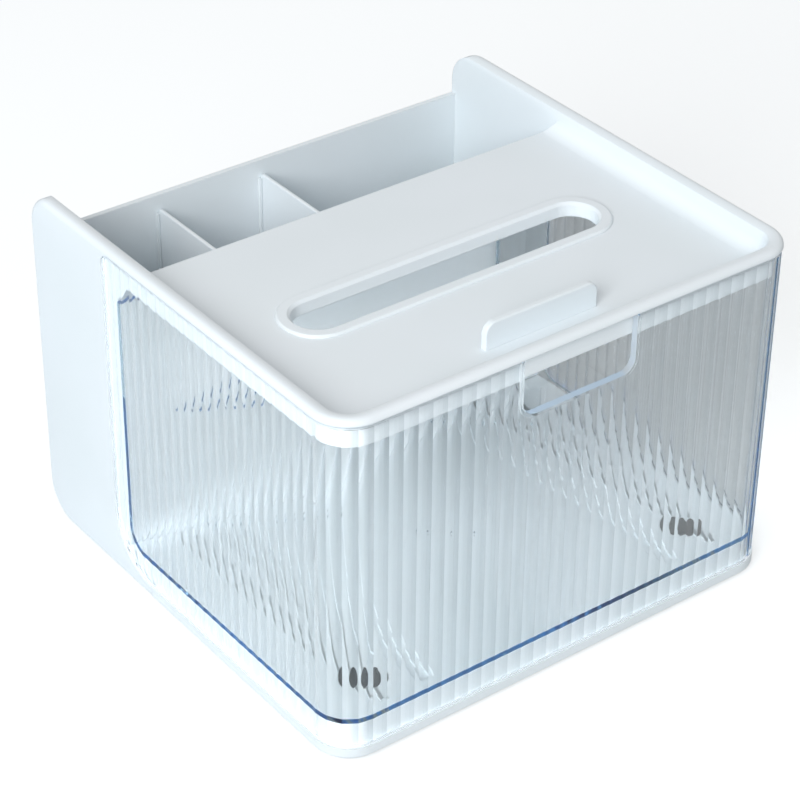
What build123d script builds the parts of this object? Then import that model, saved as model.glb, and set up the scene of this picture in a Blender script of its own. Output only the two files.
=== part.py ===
"""Tissue box organizer with a clear fluted pull-out tub, build123d builder mode, millimetres, +Z up."""

import os
from math import cos, pi, sin

from build123d import *

# Overall size of the case
case_w = 220.0
case_d = 210.0
case_h = 156.0
corner_r = 16.0
edge_r = 2.6
lift = 1.2

# Rim and sunken phone tray
rim_w = 6.8
rim_t = 2.8
rim_soft = 3.0
tray_drop = 10.6
tray_t = 2.2
tray_r = 6.0
lead_y = 7.0
lead_z = 9.8
lead_t = 2.6

# Rear storage block
storage_d = 58.0
back_t = 2.4
skin_t = 2.0
store_t = 2.2
back_drop = 21.0
back_top_r = 14.0
back_low_r = 16.0

# Dividers and the guide ribs that hold them
left_bay = 51.3
middle_bay = 49.2
divider_t = 1.8
divider_drop = 6.0
divider_r = 2.0
divider_gap = 0.1
guide_w = 1.0
guide_h = 1.7

# Clear tub
clear_t = 2.4
flute_d = 0.22
flute_pitch = 6.4
hem_h = 1.0
inset = 0.5
floor_t = 2.2
floor_r = 11.0
flange = 8.3
flange_low_r = 25.0
flange_top_r = 5.0
cutout_side = 27.5
cutout_h = 64.0
cutout_r = 10.0
notch_w = 54.0
notch_h = 24.5
notch_r = 6.0
bead_w = 1.4
gate_d = 3.0
gate_h = 0.6

# Clearances of the tub in the case
slide_gap = 0.5
gap = 0.4
pass_gap = 0.8

# Tissue slot and phone stop on the tray
slot_l = 145.0
slot_w = 21.0
slot_from_front = 79.2
lip_w = 5.6
lip_h = 1.2
lip_edge = 1.2
lip_depth = 5.0
collar_t = 2.0
tab_w = 54.0
tab_h = 11.5
tab_t = 3.0
tab_r = 5.0
tab_edge = 0.6
tab_from_front = 22.9

# White base under the tub
strip_h = 5.4
strip_edge = 1.4
plinth_h = 16.0
plinth_t = 2.2
web_t = 1.8
web_h = 4.0
rail_h = 0.5
rail_w = 2.4
rail_x = 84.0
web_x = 40.0

# Stop lugs under the tub and the grooves they run in
lug_in = 43.6
lug_w = 5.0
lug_l = 4.0
lug_h = 1.2
groove_t = 2.2
stop_wall = 4.8

# Rubber feet pushed through the base
foot_in_x = 24.2
foot_in_front = 19.2
foot_in_back = 32.2
foot_d = 16.0
foot_h = 4.0
plug_d = 12.0
plug_proud = 0.3
foot_gap = 0.3

# Screws, bosses and cups that hold base and case together
screw_in_x = 46.2
screw_in_back = 32.2
screw_d = 2.7
screw_l = 8.2
head_d = 5.6
head_h = 1.8
drive_w = 0.7
drive_l = 3.4
drive_h = 1.0
pilot_d = 3.2
boss_d = 7.0
boss_h = 8.5
cup_t = 2.2
cup_wall = 1.8

# Levels worked out from the sizes above
y_front = -case_d / 2
y_back = case_d / 2
x_side = case_w / 2
rim_z = case_h - rim_t
tray_z = case_h - tray_drop
tray_under = tray_z - tray_t
strip_z = lift + strip_h
plinth_z = lift + plinth_h
floor_z = plinth_z + rail_h
store_z = floor_z + store_t
back_z = case_h - back_drop
divider_z = back_z - divider_drop
cup_z = floor_z - boss_h

# Tub wall, from the ridges between the flutes inwards
x_ridge = x_side - inset
y_ridge = y_front + inset
r_ridge = corner_r - inset
x_clear = x_ridge - clear_t
y_clear = y_ridge + clear_t
r_clear = r_ridge - clear_t
skirt_z = strip_z + gap
tub_z = rim_z - gap

# White apron behind the tub wall, inner face of the rim, faces of the storage
x_apron = x_clear - slide_gap
y_apron = y_clear + slide_gap
r_apron = r_clear - slide_gap
x_rim = x_side - rim_w
y_rim = y_front + rim_w
r_rim = corner_r - rim_w
y_back_in = y_back - back_t
y_store = y_back_in - storage_d
y_wall = y_store - skin_t
y_tub = y_wall - gap
y_flange = y_tub + flange
y_panel = y_flange + gap
panel_low_r = flange_low_r + gap
panel_top_r = flange_top_r + gap
y_seam = y_panel - panel_low_r
back_in_r = back_low_r - back_t

# Tray's rear edge leans into the storage, over the tub's low back wall
y_edge = y_store - lead_y
slot_y = y_front + slot_from_front
tab_y = y_front + tab_from_front
tub_back_z = tray_z - lead_z - pass_gap - 0.3
gusset_z = tub_back_z + pass_gap

# Base inside the case
x_plinth = x_apron - gap
y_plinth = y_apron + gap
r_plinth = r_apron - gap
y_plinth_back = y_back_in - gap
lug_x = x_plinth - lug_in
lug_y = y_tub - floor_r - lug_l - rail_h
groove_d = lug_h - rail_h + gap
y_stop = y_plinth + stop_wall
travel = lug_y - gap - y_stop
cup_d = boss_d + 2 * gap
foot_x = x_plinth - foot_in_x
foot_y = y_plinth + foot_in_front
foot_back_y = y_plinth_back - foot_in_back
divider_left_x = -x_rim + left_bay + divider_t / 2
divider_right_x = divider_left_x + middle_bay + divider_t
screw_x = x_plinth - screw_in_x
screw_y = y_plinth_back - screw_in_back

screw_places = [(-screw_x, screw_y), (screw_x, screw_y)]
foot_places = {
    "foot_front_left": (-foot_x, foot_y),
    "foot_front_right": (foot_x, foot_y),
    "foot_rear_left": (-foot_x, foot_back_y),
    "foot_rear_right": (foot_x, foot_back_y),
}


def u_lines(half_x, front, back, radius):
    """Closed outline, square at the back and rounded at the two front corners."""
    Line((-half_x, back), (-half_x, front + radius))
    CenterArc((-half_x + radius, front + radius), radius, 180, 90)
    Line((-half_x + radius, front), (half_x - radius, front))
    CenterArc((half_x - radius, front + radius), radius, 270, 90)
    Line((half_x, front + radius), (half_x, back))
    Line((half_x, back), (-half_x, back))


def flutes():
    """Start, deepest point and end of each hollow flute from the rear left, round the front, to the rear right."""
    cx = x_ridge - r_ridge
    cy = y_ridge + r_ridge
    side = y_flange - cy
    runs = [
        (side, lambda t: (-x_ridge, y_flange - side * t)),
        (r_ridge * pi / 2, lambda t: (-cx - r_ridge * cos(t * pi / 2), cy - r_ridge * sin(t * pi / 2))),
        (2 * cx, lambda t: (-cx + 2 * cx * t, y_ridge)),
        (r_ridge * pi / 2, lambda t: (cx + r_ridge * sin(t * pi / 2), cy - r_ridge * cos(t * pi / 2))),
        (side, lambda t: (x_ridge, cy + side * t)),
    ]
    rows = []
    for length, ridge in runs:
        n = max(2, round(length / flute_pitch))
        for i in range(n):
            start, end = Vector(*ridge(i / n)), Vector(*ridge((i + 1) / n))
            inward = (end - start).normalized().rotate(Axis.Z, 90)
            rows.append((start, (start + end) * 0.5 + inward * flute_d, end))
    return rows


# Upper case: rim, sunken tray, side panels and rear storage in one white moulding
with BuildPart() as body:
    # Side outline with the window for the drawer wall
    with BuildSketch(Plane.YZ):
        with BuildLine():
            Line((y_seam, lift), (y_back - back_low_r, lift))
            CenterArc((y_back - back_low_r, lift + back_low_r), back_low_r, 270, 90)
            Line((y_back, lift + back_low_r), (y_back, case_h - back_top_r))
            CenterArc((y_back - back_top_r, case_h - back_top_r), back_top_r, 0, 90)
            Line((y_back - back_top_r, case_h), (y_front, case_h))
            Line((y_front, case_h), (y_front, rim_z))
            Line((y_front, rim_z), (y_panel - panel_top_r, rim_z))
            CenterArc((y_panel - panel_top_r, rim_z - panel_top_r), panel_top_r, 0, 90)
            Line((y_panel, rim_z - panel_top_r), (y_panel, strip_z + panel_low_r))
            CenterArc((y_seam, strip_z + panel_low_r), panel_low_r, 270, 90)
            Line((y_seam, strip_z), (y_seam, lift))
        make_face()
    extrude(amount=x_side, both=True)
    # Rounded front corners
    with BuildSketch(Plane.XY):
        Rectangle(2 * case_w, 2 * case_d)
        with BuildLine():
            u_lines(x_side, y_front, y_back + 1, corner_r)
        make_face(mode=Mode.SUBTRACT)
    extrude(amount=case_h + 1, mode=Mode.SUBTRACT)
    # Soft outer edges of the rim and the side panels
    outer = []
    for e in body.edges():
        c = e.center()
        on_side = abs(abs(c.X) - x_side) < 0.01 and (c.Z > case_h - back_top_r or c.Y > y_panel + 1)
        on_front = c.Z > case_h - 0.01 and c.Y < y_front + corner_r
        if on_side and c.Z < rim_z + 0.01 and c.Y < y_panel + 0.5:
            on_side = False
        if on_side or on_front:
            outer.append(e)
    fillet(outer, radius=edge_r)
    # Front of the storage block behind the tub
    with BuildSketch(Plane.XY.offset(floor_z)):
        with Locations((0, (y_wall + y_panel + 4) / 2)):
            Rectangle(2 * x_apron, y_panel + 4 - y_wall)
    extrude(amount=rim_z + 1 - floor_z)
    # Sunken tray with its apron hanging behind the drawer wall
    with BuildSketch(Plane.XY.offset(tray_under)):
        with BuildLine():
            u_lines(x_apron, y_apron, y_wall + 1, r_apron)
        make_face()
    extrude(amount=rim_z + 1 - tray_under)
    # Gusset that backs the leaning rear edge of the tray
    with BuildSketch(Plane.YZ):
        with BuildLine():
            Polyline(
                (y_edge - lead_t, tray_under + 0.5),
                (y_wall + 0.5, tray_under + 0.5),
                (y_wall + 0.5, gusset_z),
                (y_wall - lead_t * 0.4, gusset_z),
                (y_edge - lead_t, tray_under),
                close=True,
            )
        make_face()
    extrude(amount=x_apron, both=True)
    # Collar under the tissue slot
    with BuildSketch(Plane.XY.offset(tray_z - lip_depth)):
        with Locations((0, slot_y)):
            SlotOverall(slot_l + 2 * collar_t, slot_w + 2 * collar_t)
    extrude(amount=lip_depth - 0.5)
    # Tray recess with a soft cove all round
    with BuildSketch(Plane.XY.offset(tray_z)):
        with BuildLine():
            u_lines(x_rim, y_rim, y_store + 12, r_rim)
        make_face()
    extrude(amount=tray_drop + 1, mode=Mode.SUBTRACT)
    cove = [e for e in body.edges() if abs(e.center().Z - tray_z) < 0.01 and e.center().Y < y_store + 11]
    fillet(cove, radius=tray_r)
    # Storage space, open at the top, and the lower back wall
    with BuildSketch(Plane.XY.offset(store_z)):
        with Locations((0, (y_store + y_back_in) / 2)):
            Rectangle(2 * x_rim, y_back_in - y_store)
    extrude(amount=case_h, mode=Mode.SUBTRACT)
    with BuildSketch(Plane.XY.offset(back_z)):
        with Locations((0, y_back)):
            Rectangle(2 * x_rim, 4 * back_t)
    extrude(amount=case_h, mode=Mode.SUBTRACT)
    # Soft inner edge of the rim and the side walls, in two slopes
    ease = rim_soft * (1 - cos(pi / 4))
    for z, out, drop, slope in ((case_h, rim_soft, ease, 67.5), (case_h - ease, ease, rim_soft - ease, 22.5)):
        with BuildSketch(Plane.XY.offset(z)):
            with BuildLine():
                u_lines(x_rim + out, y_rim - out, y_back + 20, r_rim + out)
            make_face()
        extrude(amount=-drop, taper=slope, mode=Mode.SUBTRACT)
    # Tray's rear edge leans into the storage
    with BuildSketch(Plane.YZ):
        with BuildLine():
            Polyline(
                (y_edge, tray_z),
                (y_store, tray_z - lead_z),
                (y_store + 1, tray_z - lead_z),
                (y_store + 1, case_h + 1),
                (y_edge - (tray_drop + 1) * lead_y / lead_z, case_h + 1),
                close=True,
            )
        make_face()
    extrude(amount=x_rim, both=True, mode=Mode.SUBTRACT)
    # Room for the base under the storage floor
    with BuildSketch(Plane.YZ):
        with BuildLine():
            Line((y_seam - 1, lift - 1), (y_back_in - back_in_r, lift - 1))
            Line((y_back_in - back_in_r, lift - 1), (y_back_in - back_in_r, lift + back_t))
            CenterArc((y_back_in - back_in_r, lift + back_low_r), back_in_r, 270, 90)
            Line((y_back_in, lift + back_low_r), (y_back_in, floor_z))
            Line((y_back_in, floor_z), (y_seam - 1, floor_z))
            Line((y_seam - 1, floor_z), (y_seam - 1, lift - 1))
        make_face()
    extrude(amount=x_apron, both=True, mode=Mode.SUBTRACT)
    # Raised lip round the slot, then the slot itself
    with BuildSketch(Plane.XY.offset(tray_z - 0.5)):
        with Locations((0, slot_y)):
            SlotOverall(slot_l + 2 * lip_w, slot_w + 2 * lip_w)
    extrude(amount=lip_h + 0.5)
    with BuildSketch(Plane.XY.offset(tray_z - 2 * lip_depth)):
        with Locations((0, slot_y)):
            SlotOverall(slot_l, slot_w)
    extrude(amount=4 * lip_depth, mode=Mode.SUBTRACT)
    lip_in, lip_out = [], []
    for e in body.edges():
        c = e.center()
        if abs(c.Z - tray_z - lip_h) < 0.01:
            inner = abs(c.Y - slot_y) < slot_w / 2 + 0.1 and abs(c.X) < slot_l / 2 + 0.1
            (lip_in if inner else lip_out).append(e)
    chamfer(lip_in, length=lip_edge)
    chamfer(lip_out, length=lip_h * 0.6)
    # Phone stop standing on the tray
    with BuildSketch(Plane.XZ.offset(-tab_y)) as tab_face:
        with Locations((0, tray_z + tab_h / 2 - 0.5)):
            Rectangle(tab_w, tab_h + 1)
        fillet(tab_face.vertices().group_by(Axis.Y)[-1], radius=tab_r)
    extrude(amount=-tab_t)
    tab_edges = []
    for e in body.edges():
        c = e.center()
        on_face = abs(c.Y - tab_y) < 0.01 or abs(c.Y - tab_y - tab_t) < 0.01
        if on_face and abs(c.X) < tab_w / 2 + 0.1 and tray_z + 0.1 < c.Z < tray_z + tab_h + 0.1:
            tab_edges.append(e)
    chamfer(tab_edges, length=tab_edge)
    # Guide ribs that hold the dividers on both storage walls
    with BuildSketch(Plane.XY.offset(store_z - 0.5)):
        for dx in (divider_left_x, divider_right_x):
            for s in (-1, 1):
                for wy in (y_store, y_back_in):
                    with Locations((dx + s * (divider_t / 2 + divider_gap + guide_w / 2), wy)):
                        Rectangle(guide_w, guide_h * 2)
    extrude(amount=divider_z - store_z - 1.5)
    # Screw bosses under the storage floor
    with BuildSketch(Plane.XY.offset(cup_z)):
        with Locations(*screw_places):
            Circle(boss_d / 2)
    extrude(amount=boss_h + 0.5)
    with BuildSketch(Plane.XY.offset(cup_z)):
        with Locations(*screw_places):
            Circle(pilot_d / 2)
    extrude(amount=boss_h, mode=Mode.SUBTRACT)
    # Side walls cored from below into two skins
    with BuildSketch(Plane.XY.offset(lift + 4)):
        for s in (-1, 1):
            with Locations((s * (x_rim + x_side) / 2, (y_panel + y_back_in) / 2)):
                Rectangle(rim_w - 2 * skin_t - 0.2, y_back_in - y_panel - 12)
    extrude(amount=case_h - back_top_r - lift - 8, mode=Mode.SUBTRACT)

# White base: strip under the drawer wall and the platform the tub slides on
with BuildPart() as base:
    with BuildSketch(Plane.XY.offset(lift)):
        with BuildLine():
            u_lines(x_plinth, y_plinth, y_plinth_back, r_plinth)
        make_face()
    extrude(amount=plinth_h)
    with BuildSketch(Plane.XY.offset(lift)):
        with BuildLine():
            u_lines(x_side, y_front, y_seam, corner_r)
        make_face()
    extrude(amount=strip_h)
    # Soft lower edge of the strip
    low = [e for e in base.edges() if abs(e.center().Z - lift) < 0.01 and e.center().Y < y_seam - 0.01]
    low = [e for e in low if abs(e.center().X) > x_plinth + 0.5 or e.center().Y < y_plinth - 0.5]
    chamfer(low, length=strip_edge)
    # Rear lower corner follows the rounded back of the case
    with BuildSketch(Plane.YZ):
        with BuildLine():
            low_y = y_plinth_back - back_in_r
            Line((low_y, lift - 1), (y_plinth_back + 1, lift - 1))
            Line((y_plinth_back + 1, lift - 1), (y_plinth_back + 1, lift + back_low_r))
            Line((y_plinth_back + 1, lift + back_low_r), (y_plinth_back, lift + back_low_r))
            CenterArc((low_y, lift + back_low_r), back_in_r, 270, 90)
            Line((low_y, lift + back_t), (low_y, lift - 1))
        make_face()
    extrude(amount=case_w, both=True, mode=Mode.SUBTRACT)
    # Hollow underside, its rear wall curved with the corner
    with BuildSketch(Plane.XY.offset(lift - 1)):
        with BuildLine():
            u_lines(x_plinth - plinth_t, y_plinth + plinth_t, low_y, r_plinth - plinth_t)
        make_face()
    extrude(amount=plinth_h + 1 - plinth_t, mode=Mode.SUBTRACT)
    with BuildSketch(Plane.YZ):
        with BuildLine():
            hollow_r = back_in_r - plinth_t
            Line((low_y - 1, lift + back_t + plinth_t), (low_y, lift + back_t + plinth_t))
            CenterArc((low_y, lift + back_low_r), hollow_r, 270, 60)
            end = (low_y + hollow_r * cos(pi / 6), lift + back_low_r - hollow_r * sin(pi / 6))
            Line(end, (end[0], plinth_z - plinth_t))
            Line((end[0], plinth_z - plinth_t), (low_y - 1, plinth_z - plinth_t))
            Line((low_y - 1, plinth_z - plinth_t), (low_y - 1, lift + back_t + plinth_t))
        make_face()
    extrude(amount=x_plinth - plinth_t, both=True, mode=Mode.SUBTRACT)
    # Stiffening webs, foot columns, screw cups and thick lands under the stop grooves
    with BuildSketch(Plane.XY.offset(plinth_z - plinth_t - web_h)):
        for x in (-web_x, 0, web_x):
            with Locations((x, (y_plinth + low_y) / 2)):
                Rectangle(web_t, low_y - y_plinth - plinth_t)
    extrude(amount=web_h + plinth_t / 2)
    with BuildSketch(Plane.XY.offset(foot_h)):
        with Locations(*foot_places.values()):
            Circle(foot_d / 2)
    extrude(amount=plinth_z - foot_h - plinth_t / 2)
    with BuildSketch(Plane.XY.offset(cup_z - cup_t)):
        with Locations(*screw_places):
            Circle(cup_d / 2 + cup_wall)
    extrude(amount=plinth_z - cup_z + cup_t - plinth_t / 2)
    with BuildSketch(Plane.XY.offset(plinth_z - groove_d - groove_t)):
        for s in (-1, 1):
            with Locations((s * lug_x, (y_plinth + y_tub) / 2)):
                Rectangle(lug_w + 2 * gap + 2 * groove_t, y_tub - y_plinth - plinth_t)
    extrude(amount=groove_d + groove_t - plinth_t / 2)
    # Rails that carry the tub and the storage floor
    with BuildSketch(Plane.XY.offset(plinth_z - plinth_t / 2)):
        for s in (-1, 1):
            with Locations((s * rail_x, (y_plinth + y_plinth_back) / 2)):
                Rectangle(rail_w, y_plinth_back - y_plinth - 2 * stop_wall)
    extrude(amount=rail_h + plinth_t / 2)
    # Holes for the feet
    with BuildSketch(Plane.XY.offset(lift)):
        with Locations(*foot_places.values()):
            Circle(plug_d / 2 + foot_gap)
    extrude(amount=plinth_h + 1, mode=Mode.SUBTRACT)
    # Cups for the bosses and holes for the screws
    with BuildSketch(Plane.XY.offset(cup_z)):
        with Locations(*screw_places):
            Circle(cup_d / 2)
    extrude(amount=plinth_h, mode=Mode.SUBTRACT)
    with BuildSketch(Plane.XY.offset(lift)):
        with Locations(*screw_places):
            Circle(pilot_d / 2 + 0.2)
    extrude(amount=plinth_h, mode=Mode.SUBTRACT)
    # Stop grooves for the lugs of the tub
    with BuildSketch(Plane.XY.offset(plinth_z - groove_d)):
        for s in (-1, 1):
            with Locations((s * lug_x, (y_stop + lug_y + lug_l + gap) / 2)):
                Rectangle(lug_w + 2 * gap, lug_y + lug_l + gap - y_stop)
    extrude(amount=groove_d + 1, mode=Mode.SUBTRACT)

# Clear tub: fluted front and sides, raised floor, low back wall
with BuildPart() as drawer:
    with BuildSketch(Plane.XY.offset(skirt_z + hem_h)):
        with BuildLine():
            for start, deepest, end in flutes():
                ThreePointArc(start, deepest, end)
            Line((x_ridge, y_flange), (x_clear, y_flange))
            Line((x_clear, y_flange), (x_clear, y_clear + r_clear))
            CenterArc((x_clear - r_clear, y_clear + r_clear), r_clear, 270, 90)
            Line((x_clear - r_clear, y_clear), (-x_clear + r_clear, y_clear))
            CenterArc((-x_clear + r_clear, y_clear + r_clear), r_clear, 180, 90)
            Line((-x_clear, y_clear + r_clear), (-x_clear, y_flange))
            Line((-x_clear, y_flange), (-x_ridge, y_flange))
        make_face()
    extrude(amount=tub_z - skirt_z - 2 * hem_h)
    # Plain hems below and above the flutes
    for z in (skirt_z, tub_z - hem_h):
        with BuildSketch(Plane.XY.offset(z)):
            with BuildLine():
                u_lines(x_ridge, y_ridge, y_flange, r_ridge)
            make_face()
            with BuildLine():
                u_lines(x_clear, y_clear, y_flange + 1, r_clear)
            make_face(mode=Mode.SUBTRACT)
        extrude(amount=hem_h)
    # Rounded rear corners of the side walls
    with BuildSketch(Plane.YZ):
        with BuildLine():
            Line((y_flange - flange_low_r, skirt_z - 1), (y_flange + 1, skirt_z - 1))
            Line((y_flange + 1, skirt_z - 1), (y_flange + 1, skirt_z + flange_low_r))
            Line((y_flange + 1, skirt_z + flange_low_r), (y_flange, skirt_z + flange_low_r))
            CenterArc((y_flange - flange_low_r, skirt_z + flange_low_r), flange_low_r, 270, 90)
            Line((y_flange - flange_low_r, skirt_z), (y_flange - flange_low_r, skirt_z - 1))
        make_face()
        with BuildLine():
            Line((y_flange - flange_top_r, tub_z + 1), (y_flange + 1, tub_z + 1))
            Line((y_flange + 1, tub_z + 1), (y_flange + 1, tub_z - flange_top_r))
            Line((y_flange + 1, tub_z - flange_top_r), (y_flange, tub_z - flange_top_r))
            CenterArc((y_flange - flange_top_r, tub_z - flange_top_r), flange_top_r, 0, 90)
            Line((y_flange - flange_top_r, tub_z), (y_flange - flange_top_r, tub_z + 1))
        make_face()
    extrude(amount=case_w, both=True, mode=Mode.SUBTRACT)
    # Floor, rounded at the front with the wall, swept up into the back wall
    with BuildSketch(Plane.XY.offset(floor_z)):
        with BuildLine():
            u_lines(x_clear + 0.5, y_clear - 0.5, y_tub - floor_r + 0.2, r_clear + 0.5)
        make_face()
    extrude(amount=floor_t)
    with BuildSketch(Plane.YZ):
        with BuildLine():
            cy = y_tub - floor_r
            cz = floor_z + floor_r
            Line((cy, floor_z), (cy, floor_z + floor_t))
            CenterArc((cy, cz), floor_r - floor_t, 270, 90)
            Line((y_tub - floor_t, cz), (y_tub - floor_t, tub_back_z))
            Line((y_tub - floor_t, tub_back_z), (y_tub, tub_back_z))
            Line((y_tub, tub_back_z), (y_tub, cz))
            CenterArc((cy, cz), floor_r, 270, 90)
        make_face()
    extrude(amount=x_clear + 0.5, both=True)
    # Wide hand cut-out in the back wall
    with BuildSketch(Plane.XZ.offset(-y_tub - 1)) as cut_face:
        with Locations((0, tub_back_z - cutout_h / 2 + 1)):
            Rectangle(2 * (x_clear - cutout_side), cutout_h + 2)
        fillet(cut_face.vertices().group_by(Axis.Y)[0], radius=cutout_r)
    extrude(amount=floor_t + 2, mode=Mode.SUBTRACT)
    # Bead round the finger notch, then the notch
    with BuildSketch(Plane.XZ.offset(-y_clear)) as bead_face:
        with Locations((0, tub_z - (notch_h + bead_w) / 2)):
            Rectangle(notch_w + 2 * bead_w, notch_h + bead_w)
        fillet(bead_face.vertices().group_by(Axis.Y)[0], radius=notch_r + bead_w)
    extrude(amount=y_clear - y_front)
    with BuildSketch(Plane.XZ.offset(-y_clear - 5)) as notch_face:
        with Locations((0, tub_z - notch_h / 2 + 1)):
            Rectangle(notch_w, notch_h + 2)
        fillet(notch_face.vertices().group_by(Axis.Y)[0], radius=notch_r)
    extrude(amount=20, mode=Mode.SUBTRACT)
    # Stop lugs under the floor and the gate dimple at its middle
    with BuildSketch(Plane.XY.offset(floor_z - lug_h)):
        for s in (-1, 1):
            with Locations((s * lug_x, lug_y + lug_l / 2)):
                Rectangle(lug_w, lug_l)
    extrude(amount=lug_h + 0.5)
    with BuildSketch(Plane.XY.offset(floor_z + floor_t - gate_h)):
        with Locations((0, (y_clear + y_tub) / 2)):
            Circle(gate_d / 2)
    extrude(amount=2 * gate_h, mode=Mode.SUBTRACT)

# Storage dividers between their guide ribs
with BuildPart() as divider_left:
    with BuildSketch(Plane.YZ.offset(divider_left_x - divider_t / 2)) as plate_l:
        with Locations(((y_store + y_back_in) / 2, (store_z + divider_z) / 2)):
            Rectangle(y_back_in - y_store - 2 * divider_gap, divider_z - store_z)
        fillet(plate_l.vertices().group_by(Axis.Y)[-1], radius=divider_r)
    extrude(amount=divider_t)
    chamfer(divider_left.edges().group_by(Axis.Z)[-1].filter_by(Axis.Y), length=divider_t * 0.25)

with BuildPart() as divider_right:
    with BuildSketch(Plane.YZ.offset(divider_right_x - divider_t / 2)) as plate_r:
        with Locations(((y_store + y_back_in) / 2, (store_z + divider_z) / 2)):
            Rectangle(y_back_in - y_store - 2 * divider_gap, divider_z - store_z)
        fillet(plate_r.vertices().group_by(Axis.Y)[-1], radius=divider_r)
    extrude(amount=divider_t)
    chamfer(divider_right.edges().group_by(Axis.Z)[-1].filter_by(Axis.Y), length=divider_t * 0.25)

# Push-in rubber feet, their plugs showing on top of the platform
feet = {}
for name, (fx, fy) in foot_places.items():
    with BuildPart() as foot:
        with BuildSketch(Plane.XZ.offset(-fy)):
            with BuildLine():
                Polyline(
                    (fx, 0),
                    (fx + foot_d / 2, 0),
                    (fx + foot_d / 2, foot_h),
                    (fx + plug_d / 2, foot_h),
                    (fx + plug_d / 2, plinth_z + plug_proud),
                    (fx, plinth_z + plug_proud),
                    close=True,
                )
            make_face()
        revolve(axis=Axis((fx, fy, 0), (0, 0, 1)))
    feet[name] = foot

# Pan-head screws that hold the base to the case
with BuildPart() as base_screws:
    with BuildSketch(Plane.XY.offset(cup_z - cup_t - head_h)):
        with Locations(*screw_places):
            Circle(head_d / 2)
    extrude(amount=head_h)
    with BuildSketch(Plane.XY.offset(cup_z - cup_t - head_h / 2)):
        with Locations(*screw_places):
            Circle(screw_d / 2)
    extrude(amount=screw_l + head_h / 2)
    with BuildSketch(Plane.XY.offset(cup_z - cup_t - head_h)):
        with Locations(*screw_places):
            Rectangle(drive_l, drive_w)
            Rectangle(drive_w, drive_l)
    extrude(amount=drive_h, mode=Mode.SUBTRACT)

os.makedirs("parts", exist_ok=True)
pieces = {
    "body": body,
    "base": base,
    "drawer": drawer,
    "divider_left": divider_left,
    "divider_right": divider_right,
    "base_screws": base_screws,
}
pieces.update(feet)
for name, piece in pieces.items():
    piece.part.label = name
    export_step(piece.part, "parts/" + name + ".step")
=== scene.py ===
"""Tissue box organizer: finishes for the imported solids, a pale studio and the photograph's camera."""

from math import atan2, cos, hypot, pi, radians, sin

import bmesh
import bpy
from mathutils import Matrix, Vector


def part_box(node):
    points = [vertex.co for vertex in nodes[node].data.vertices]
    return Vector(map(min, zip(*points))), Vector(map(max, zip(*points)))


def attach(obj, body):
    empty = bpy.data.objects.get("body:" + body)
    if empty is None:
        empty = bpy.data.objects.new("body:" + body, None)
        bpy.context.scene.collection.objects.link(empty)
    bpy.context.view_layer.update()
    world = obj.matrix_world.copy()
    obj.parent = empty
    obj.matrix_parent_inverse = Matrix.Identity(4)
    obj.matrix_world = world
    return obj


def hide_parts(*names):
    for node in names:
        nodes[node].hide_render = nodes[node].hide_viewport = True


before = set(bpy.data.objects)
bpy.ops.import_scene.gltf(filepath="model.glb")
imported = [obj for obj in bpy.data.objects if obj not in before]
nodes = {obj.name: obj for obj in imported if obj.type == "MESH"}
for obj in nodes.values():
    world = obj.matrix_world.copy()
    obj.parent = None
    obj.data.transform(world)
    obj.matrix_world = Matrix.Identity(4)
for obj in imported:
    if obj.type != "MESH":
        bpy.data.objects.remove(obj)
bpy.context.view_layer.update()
mm = 0.001

# Fluted wall of the tub: ridges, where the corners turn, and how far the flutes run, from the tub's own box
tub_low, tub_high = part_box("drawer")
hem_h = 1.0 * mm
notch_bead = 0.5 * mm
ridge_r = 15.5 * mm
ridge_x = tub_high.x
ridge_y = tub_low.y + notch_bead
turn_x = ridge_x - ridge_r
turn_y = ridge_y + ridge_r
side_end = tub_high.y
flutes_low = tub_low.z + hem_h
flutes_high = tub_high.z - hem_h
flute_deep = 0.22 * mm
front_flutes = 29
side_flutes = 22
corner_flutes = 4
strips = 6

# Finger notch in the front wall, with the bead round it
notch_w = 54 * mm
notch_h = 24.5 * mm
notch_edge = 1.7 * mm
wall_deep = 3 * mm
rim_gap = 0.3 * mm
satin_share = 0.8

# How closely points of the meshes count as one, as on the skin or as on a cut
merge_gap = 0.002 * mm
skin_gap = 0.02 * mm
end_gap = 0.01 * mm
cut_gap = 0.001 * mm

# How little a face looks up to count as upright, or to the front to count as the notch's edge
upright_lean = 0.1
edge_lean = 0.7


def linear(code):
    """Linear colour of an sRGB hex value."""
    channels = [int(code[i:i + 2], 16) / 255 for i in (0, 2, 4)]
    return [c / 12.92 if c <= 0.04045 else ((c + 0.055) / 1.055) ** 2.4 for c in channels] + [1.0]


def add(tree, kind, links=None, **settings):
    """One node with its settings; an input's value goes by the input's name, spaces as underscores."""
    node = tree.nodes.new(kind)
    for name, value in settings.items():
        label = name.replace("_", " ")
        if hasattr(node, name):
            setattr(node, name, value)
        else:
            node.inputs[label].default_value = value
    for label, source in (links or {}).items():
        key = int(label) if label.isdigit() else label
        tree.links.new(source, node.inputs[key])
    return node


def finish_named(name):
    """An empty node material with its output node."""
    material = bpy.data.materials.new(name)
    material.use_nodes = True
    material.node_tree.nodes.clear()
    return material, material.node_tree, add(material.node_tree, "ShaderNodeOutputMaterial")


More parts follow.
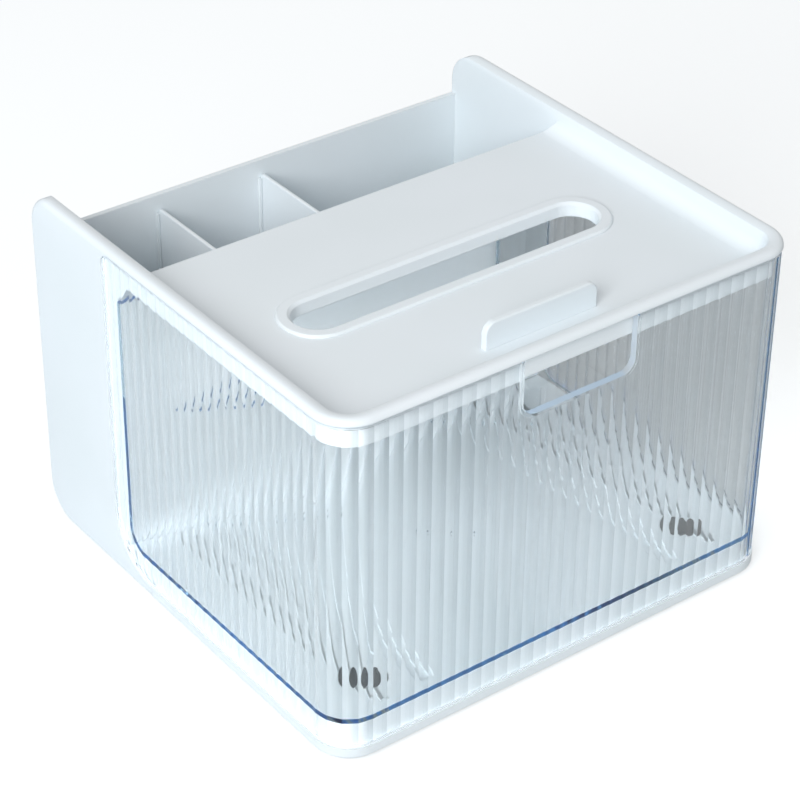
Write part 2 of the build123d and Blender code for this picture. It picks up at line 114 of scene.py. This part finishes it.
# White moulded ABS: cool white, satin, with faint cloudy shade and a fine spark-eroded grain
white_abs, tree, out = finish_named("white_moulded_abs")
place = add(tree, "ShaderNodeTexCoord").outputs["Object"]
cloud = add(tree, "ShaderNodeTexNoise", {"Vector": place}, Scale=1 / (60 * mm), Detail=2.0)
shade = add(tree, "ShaderNodeValToRGB", {"Fac": cloud.outputs["Fac"]})
shade.color_ramp.elements[0].position = 0.3
shade.color_ramp.elements[0].color = linear("ECF4F8")
shade.color_ramp.elements[1].position = 0.7
shade.color_ramp.elements[1].color = linear("F0F7FC")
grain = add(tree, "ShaderNodeTexNoise", {"Vector": place}, Scale=1 / (0.9 * mm), Detail=2.0)
soft_edge = add(tree, "ShaderNodeBevel", samples=4, Radius=0.6 * mm)
relief = add(
    tree, "ShaderNodeBump", {"Height": grain.outputs["Fac"], "Normal": soft_edge.outputs["Normal"]},
    Strength=0.06, Distance=0.05 * mm,
)
surface = add(
    tree, "ShaderNodeBsdfPrincipled",
    {"Base Color": shade.outputs["Color"], "Normal": relief.outputs["Normal"]},
    Roughness=0.34, IOR=1.53,
)
tree.links.new(surface.outputs["BSDF"], out.inputs["Surface"])

# Clear polystyrene: glass-clear and glossy, with a tint that turns blue where light has run along a wall
clear_ps, tree, out = finish_named("clear_moulded_polystyrene")
place = add(tree, "ShaderNodeTexCoord").outputs["Object"]
flow = add(tree, "ShaderNodeTexNoise", {"Vector": place}, Scale=1 / (22 * mm), Detail=1.0)
relief = add(tree, "ShaderNodeBump", {"Height": flow.outputs["Fac"]}, Strength=0.02, Distance=0.1 * mm)

# Painted shade and highlight across each flute, from the way its flank leans along the wall, for the eye
# alone
level_place = add(tree, "ShaderNodeVectorMath", {"0": place}, operation="MULTIPLY")
level_place.inputs[1].default_value = (1, 1, 0)
core = add(tree, "ShaderNodeVectorMath", {"0": level_place.outputs["Vector"]}, operation="MAXIMUM")
core.inputs[1].default_value = (-turn_x, turn_y, 0)
core = add(tree, "ShaderNodeVectorMath", {"0": core.outputs["Vector"]}, operation="MINIMUM")
core.inputs[1].default_value = (turn_x, side_end, 0)
outward = add(
    tree, "ShaderNodeVectorMath", {"0": level_place.outputs["Vector"], "1": core.outputs["Vector"]},
    operation="SUBTRACT",
)
outward = add(tree, "ShaderNodeVectorMath", {"0": outward.outputs["Vector"]}, operation="NORMALIZE")
round_wall = add(
    tree, "ShaderNodeVectorMath", {"1": outward.outputs["Vector"]}, operation="CROSS_PRODUCT",
)
round_wall.inputs[0].default_value = (0, 0, 1)
facing = add(tree, "ShaderNodeNewGeometry").outputs["Normal"]
tilt = add(
    tree, "ShaderNodeVectorMath", {"0": facing, "1": round_wall.outputs["Vector"]}, operation="DOT_PRODUCT",
)
slope = add(tree, "ShaderNodeMapRange", {"Value": tilt.outputs["Value"]}, From_Min=-0.12, From_Max=0.12)
# Painted shade: one flank grey, the other white, by how the flank leans
flank_painted_shade = add(tree, "ShaderNodeValToRGB", {"Fac": slope.outputs["Result"]})
flank_painted_shade.color_ramp.elements[0].color = linear("DADEE0")
flank_painted_shade.color_ramp.elements[1].color = linear("FFFFFF")
ray = add(tree, "ShaderNodeLightPath")
# Painted shade laid on the base colour for camera rays alone; other rays see plain white
tint = add(
    tree, "ShaderNodeMixRGB", {"Fac": ray.outputs["Is Camera Ray"], "Color2": flank_painted_shade.outputs["Color"]},
)
tint.inputs["Color1"].default_value = (1, 1, 1, 1)

# The clear body with the painted flute shade in its colour, its blue along long ways, the notch's satin
# edge, and shadows that let most light pass
surface = add(
    tree, "ShaderNodeBsdfPrincipled",
    {"Base Color": tint.outputs["Color"], "Normal": relief.outputs["Normal"]},
    Roughness=0.02, IOR=1.58, Transmission_Weight=1.0,
)
depth = add(tree, "ShaderNodeVolumeAbsorption", Color=(0.0, 0.54, 0.86, 1), Density=12.0)
cut = add(tree, "ShaderNodeAttribute", attribute_name="satin")
satin = add(
    tree, "ShaderNodeBsdfPrincipled", Base_Color=linear("E9F0F4"), Roughness=0.4, IOR=1.58,
    Transmission_Weight=0.25,
)
edged = add(
    tree, "ShaderNodeMixShader",
    {"0": cut.outputs["Fac"], "1": surface.outputs["BSDF"], "2": satin.outputs["BSDF"]},
)
veil = add(tree, "ShaderNodeBsdfTransparent", Color=linear("FAF8F6"))
passed = add(
    tree, "ShaderNodeMixShader",
    {"0": ray.outputs["Is Shadow Ray"], "1": edged.outputs["Shader"], "2": veil.outputs["BSDF"]},
)
tree.links.new(passed.outputs["Shader"], out.inputs["Surface"])
tree.links.new(depth.outputs["Volume"], out.inputs["Volume"])

# Moulded rubber: matte near-black with a dusty bloom
black_rubber, tree, out = finish_named("black_moulded_rubber")
place = add(tree, "ShaderNodeTexCoord").outputs["Object"]
bloom = add(tree, "ShaderNodeTexNoise", {"Vector": place}, Scale=1 / (3 * mm), Detail=3.0)
shade = add(tree, "ShaderNodeValToRGB", {"Fac": bloom.outputs["Fac"]})
shade.color_ramp.elements[0].color = linear("1C1E20")
shade.color_ramp.elements[1].color = linear("2C3033")
relief = add(tree, "ShaderNodeBump", {"Height": bloom.outputs["Fac"]}, Strength=0.2, Distance=0.1 * mm)
surface = add(
    tree, "ShaderNodeBsdfPrincipled",
    {"Base Color": shade.outputs["Color"], "Normal": relief.outputs["Normal"]},
    Roughness=0.8, IOR=1.52,
)
tree.links.new(surface.outputs["BSDF"], out.inputs["Surface"])

# Zinc-plated steel: pale bluish metal with a patchy crystalline sheen
zinc_steel, tree, out = finish_named("zinc_plated_steel")
place = add(tree, "ShaderNodeTexCoord").outputs["Object"]
spangle = add(tree, "ShaderNodeTexVoronoi", {"Vector": place}, Scale=1 / (0.8 * mm))
shade = add(tree, "ShaderNodeValToRGB", {"Fac": spangle.outputs["Distance"]})
shade.color_ramp.elements[0].color = linear("B4B9BD")
shade.color_ramp.elements[1].color = linear("CDD2D4")
surface = add(
    tree, "ShaderNodeBsdfPrincipled", {"Base Color": shade.outputs["Color"]}, Metallic=1.0, Roughness=0.32,
)
tree.links.new(surface.outputs["BSDF"], out.inputs["Surface"])

# Node, its finish, the record's slot, the body it moves with and the angle in degrees kept as a crease
white_nodes = ["body", "base", "divider_left", "divider_right"]
foot_nodes = ["foot_front_left", "foot_front_right", "foot_rear_left", "foot_rear_right"]
dressing = [(name, white_abs, "white_plastic", "case", 26) for name in white_nodes]
dressing += [(name, black_rubber, "black_rubber", "case", 40) for name in foot_nodes]
dressing.append(("base_screws", zinc_steel, "screw_steel", "case", 40))
dressing.append(("drawer", clear_ps, "clear_plastic", "tub", 11))


def flute_of(x, y):
    """Run, place along it counted in flutes, and depth of a point inside the line from ridge to ridge."""
    if y >= turn_y:
        return "side", (y - turn_y) / (side_end - turn_y) * side_flutes, ridge_x - abs(x)
    if abs(x) <= turn_x:
        return "front", (x + turn_x) / (2 * turn_x) * front_flutes, y - ridge_y
    along = atan2(turn_y - y, abs(x) - turn_x) / (pi / 2) * corner_flutes
    half = pi / 4 / corner_flutes
    chord = ridge_r * cos(half) / cos((along % 1 - 0.5) * 2 * half)
    return ("right" if x > 0 else "left"), along, chord - hypot(abs(x) - turn_x, y - turn_y)


def on_skin(v):
    """True for a point of the fluted outside."""
    in_height = flutes_low - end_gap < v.co.z < flutes_high + end_gap
    return in_height and -skin_gap < flute_of(*v.co.xy)[2] < flute_deep + skin_gap


def refine_flutes(shape):
    """Cut each flute into strips and hollow them to its curve, rounder in the corner beside the sides."""
    places = [i + k / strips for i in range(front_flutes) for k in range(1, strips)]
    bends = [t / corner_flutes * pi / 2 for t in places if t < corner_flutes]
    front_cuts = [2 * turn_x * t / front_flutes - turn_x for t in places]
    side_cuts = [turn_y + (side_end - turn_y) * t / side_flutes for t in places if t < side_flutes]
    cuts = {
        "front": [((x, 0, 0), (1, 0, 0)) for x in front_cuts],
        "side": [((0, y, 0), (0, 1, 0)) for y in side_cuts],
        "left": [((-turn_x, turn_y, 0), (-sin(a), cos(a), 0)) for a in bends],
        "right": [((turn_x, turn_y, 0), (sin(a), cos(a), 0)) for a in bends],
    }
    points = set()
    for run, planes in cuts.items():
        part = {}
        for f in shape.faces:
            here = flute_of(*f.calc_center_median().xy)[0] == run
            if here and abs(f.normal.z) < upright_lean and all(map(on_skin, f.verts)):
                part.update(dict.fromkeys([f, *f.edges, *f.verts]))
        for spot, across in planes:
            part = bmesh.ops.bisect_plane(
                shape, geom=list(part), dist=cut_gap, plane_co=spot, plane_no=across,
            )["geom"]
        points.update(v for v in part if isinstance(v, bmesh.types.BMVert))
    for v in points:
        run, along, depth = flute_of(*v.co.xy)
        hollow = 4 * flute_deep * (along % 1) * (1 - along % 1)
        if run == "side":
            v.co.x -= hollow - depth if v.co.x > 0 else depth - hollow
        elif run == "front":
            v.co.y += hollow - depth
        else:
            centre = Vector((turn_x if run == "right" else -turn_x, turn_y, v.co.z))
            reach = (v.co - centre).length
            flatness = min(1.0, int(along) / 2)
            bulge = (1 - flatness) * (ridge_r - reach - depth)
            v.co = centre + (v.co - centre) * (reach + depth + bulge - hollow) / reach
    shape.normal_update()


def mark_notch(shape):
    """Mark the edge faces of the finger notch, which are satin where the rest is glossy."""
    satin_layer = shape.faces.layers.float.new("satin")
    for f in shape.faces:
        spot = f.calc_center_median()
        beside = abs(spot.x) < notch_w / 2 + notch_edge and spot.y < ridge_y + wall_deep
        level = tub_high.z - notch_h - notch_edge < spot.z < tub_high.z - rim_gap
        f[satin_layer] = satin_share if beside and level and abs(f.normal.y) < edge_lean else 0.0


# A merged copy of each solid, smooth between its creases, stands for its node
for name, material, slot_name, body_name, crease in dressing:
    shape = bmesh.new()
    shape.from_mesh(nodes[name].data)
    bmesh.ops.remove_doubles(shape, verts=shape.verts, dist=merge_gap)
    if name == "drawer":
        refine_flutes(shape)
        mark_notch(shape)
    limit = radians(crease)
    for face in shape.faces:
        face.smooth = True
    for edge in shape.edges:
        edge.smooth = len(edge.link_faces) == 2 and edge.calc_face_angle() < limit
    mesh = bpy.data.meshes.new(name + "_smooth")
    shape.to_mesh(mesh)
    shape.free()
    mesh.materials.clear()
    mesh.materials.append(material)
    piece = bpy.data.objects.new(name + "_smooth", mesh)
    bpy.context.scene.collection.objects.link(piece)
    if name == "drawer":
        flat = piece.modifiers.new("flat_walls", "WEIGHTED_NORMAL")
        flat.keep_sharp = True
        flat.weight = 100
    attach(piece, body_name)
    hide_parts(name)

# Pale floor, with some glow to the eye so that it meets the white background
floor_half = 4.0
floor_glow = 0.5
floor_mesh = bpy.data.meshes.new("floor")
shape = bmesh.new()
bmesh.ops.create_grid(shape, x_segments=1, y_segments=1, size=floor_half)
shape.to_mesh(floor_mesh)
shape.free()
floor = bpy.data.objects.new("floor", floor_mesh)
bpy.context.scene.collection.objects.link(floor)
floor_paper, tree, out = finish_named("floor_paper")
paper = add(tree, "ShaderNodeBsdfDiffuse", Color=linear("D6DADC"))
ray = add(tree, "ShaderNodeLightPath")
lift = add(tree, "ShaderNodeMath", {"0": ray.outputs["Is Camera Ray"]}, operation="MULTIPLY")
lift.inputs[1].default_value = floor_glow
glow = add(tree, "ShaderNodeEmission", {"Strength": lift.outputs[0]}, Color=(1, 1, 1, 1))
both = add(tree, "ShaderNodeAddShader", {"0": paper.outputs["BSDF"], "1": glow.outputs["Emission"]})
tree.links.new(both.outputs["Shader"], out.inputs["Surface"])
floor_mesh.materials.append(floor_paper)

# White surroundings to the eye, a softer level for the light that falls on the box
seen_strength = 1.0
fill_strength = 0.47
world = bpy.data.worlds.new("studio")
bpy.context.scene.world = world
world.use_nodes = True
tree = world.node_tree
tree.nodes.clear()
ray = add(tree, "ShaderNodeLightPath")
seen = ray.outputs["Is Camera Ray"]
for other in ("Is Glossy Ray", "Is Transmission Ray"):
    either = add(tree, "ShaderNodeMath", {"0": seen, "1": ray.outputs[other]}, operation="MAXIMUM")
    seen = either.outputs[0]
level = add(tree, "ShaderNodeMapRange", {"Value": seen}, To_Min=fill_strength, To_Max=seen_strength)
sky = add(tree, "ShaderNodeBackground", {"Strength": level.outputs["Result"]}, Color=(1, 1, 1, 1))
out = add(tree, "ShaderNodeOutputWorld", {"Surface": sky.outputs["Background"]})


def softbox(name, spot, aim, size, watts, tint=(1.0, 1.0, 1.0)):
    """A square lamp at a place, aimed at a point."""
    lamp = bpy.data.lights.new(name, "AREA")
    lamp.size = size
    lamp.energy = watts
    lamp.color = tint
    lamp_object = bpy.data.objects.new(name, lamp)
    lamp_object.location = spot
    lamp_object.rotation_euler = (Vector(aim) - Vector(spot)).to_track_quat("-Z", "Y").to_euler()
    bpy.context.scene.collection.objects.link(lamp_object)


softbox("key_softbox", (-1.54, -0.97, 1.15), (0, 0, 0.08), 1.0, 29)
softbox("left_fill", (-1.9, 0.1, 0.55), (0, 0, 0.12), 0.8, 2.8, (0.4, 0.74, 1.0))

# Camera at the photograph's angle
photo_px = 800
azimuth = radians(37.253)
elevation = radians(33.793)
roll = radians(0.621)
focal_px = 2636.8
camera_spot = Vector((-543.9, -710.6, 667.9)) * mm
camera = bpy.data.cameras.new("camera")
camera.sensor_width = 36.0
camera.lens = focal_px * camera.sensor_width / photo_px
camera_object = bpy.data.objects.new("camera", camera)
forward = Vector((sin(azimuth) * cos(elevation), cos(azimuth) * cos(elevation), -sin(elevation)))
turn = forward.to_track_quat("-Z", "Y").to_matrix() @ Matrix.Rotation(roll, 3, "Z")
camera_object.matrix_world = Matrix.Translation(camera_spot) @ turn.to_4x4()
bpy.context.scene.collection.objects.link(camera_object)
bpy.context.scene.camera = camera_object
bpy.context.scene.view_settings.view_transform = "Standard"

# Light finds its way out along the clear walls
bounces = 96
cycles = bpy.context.scene.cycles
cycles.max_bounces = bounces
cycles.transmission_bounces = bounces
cycles.glossy_bounces = bounces
